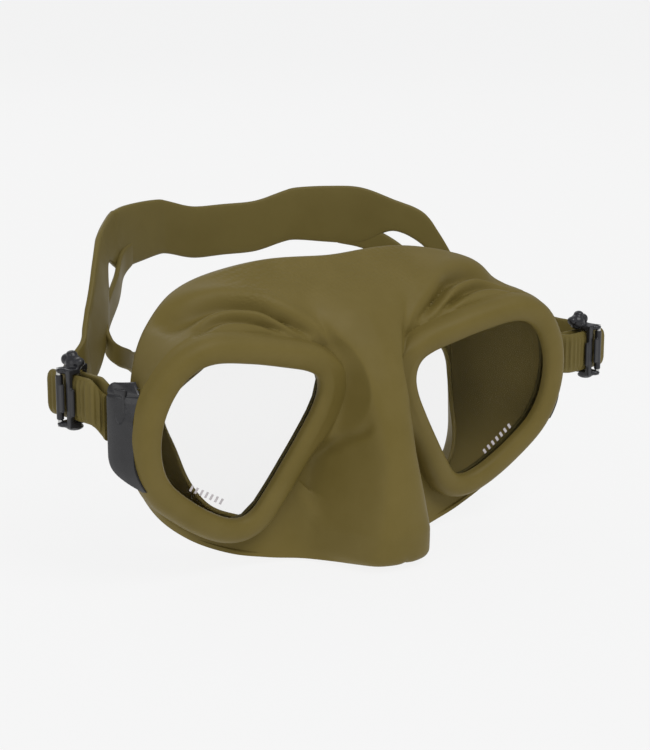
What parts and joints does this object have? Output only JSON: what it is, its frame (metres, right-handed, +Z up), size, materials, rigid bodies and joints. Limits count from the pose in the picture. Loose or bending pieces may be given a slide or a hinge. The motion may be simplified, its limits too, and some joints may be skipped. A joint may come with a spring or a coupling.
{
  "type": "diving mask",
  "caption": "Low-volume diving mask with separate lenses, soft skirt with nose pocket, and a split strap on sliding cam buckles.",
  "frame": {"origin": "the middle plane of the mask, level with the middle of the lenses, just behind the lens plane", "axes": "+X to the wearer's left, +Y from the lenses towards the wearer's head, +Z up"},
  "size_m": [0.2044, 0.1075, 0.1024],
  "materials": {
    "skirt_silicone": "matte olive silicone",
    "strap_silicone": "matte olive silicone",
    "clear_glass": "clear flat tempered glass",
    "dark_frame": "matte moulded polycarbonate",
    "black_plastic": "satin black moulded plastic",
    "steel": "polished stainless pin"
  },
  "bodies": {
    "root": {"skirt": "skirt_silicone", "inner_frame": "dark_frame", "strap": "strap_silicone", "lens_right_side": "clear_glass", "lug_bracket_right_side": "black_plastic", "lug_cover_right_side": "black_plastic", "strap_pin_right_side": "steel", "lens_left_side": "clear_glass", "lug_bracket_left_side": "black_plastic", "lug_cover_left_side": "black_plastic", "strap_pin_left_side": "steel"},
    "buckle_right_side": {"buckle_frame_right_side": "black_plastic", "cam_pin_right_side": "steel"},
    "cam_right_side": {"buckle_cam_right_side": "black_plastic"},
    "roller_right_side": {"buckle_roller_right_side": "steel"},
    "buckle_left_side": {"buckle_frame_left_side": "black_plastic", "cam_pin_left_side": "steel"},
    "cam_left_side": {"buckle_cam_left_side": "black_plastic"},
    "roller_left_side": {"buckle_roller_left_side": "steel"}
  },
  "joints": [
    {"name": "buckle_slide_right_side", "type": "slide", "parent": "root", "child": "buckle_right_side", "axis": [-0.16, 0.9871, 0], "range_m": [-0.003, 0.0035]},
    {"name": "cam_lever_right_side", "type": "hinge", "parent": "buckle_right_side", "child": "cam_right_side", "pos_m": [-0.08939, 0.02278, 0.0088], "axis": [0, 0, -1], "range_deg": [0, 40]},
    {"name": "roller_spin_right_side", "type": "hinge", "parent": "buckle_right_side", "child": "roller_right_side", "pos_m": [-0.0842, 0.022, 0.0088], "axis": [0, 0, 1], "continuous": true},
    {"name": "buckle_slide_left_side", "type": "slide", "parent": "root", "child": "buckle_left_side", "axis": [0.9798, 0.2, 0], "range_m": [-0.003, 0.0035]},
    {"name": "cam_lever_left_side", "type": "hinge", "parent": "buckle_left_side", "child": "cam_left_side", "pos_m": [0.10677, 0.01112, 0.0006], "axis": [0, 0, 1], "range_deg": [0, 40]},
    {"name": "roller_spin_left_side", "type": "hinge", "parent": "buckle_left_side", "child": "roller_left_side", "pos_m": [0.1042, 0.0157, 0.0006], "axis": [0, 0, 1], "continuous": true}
  ]
}
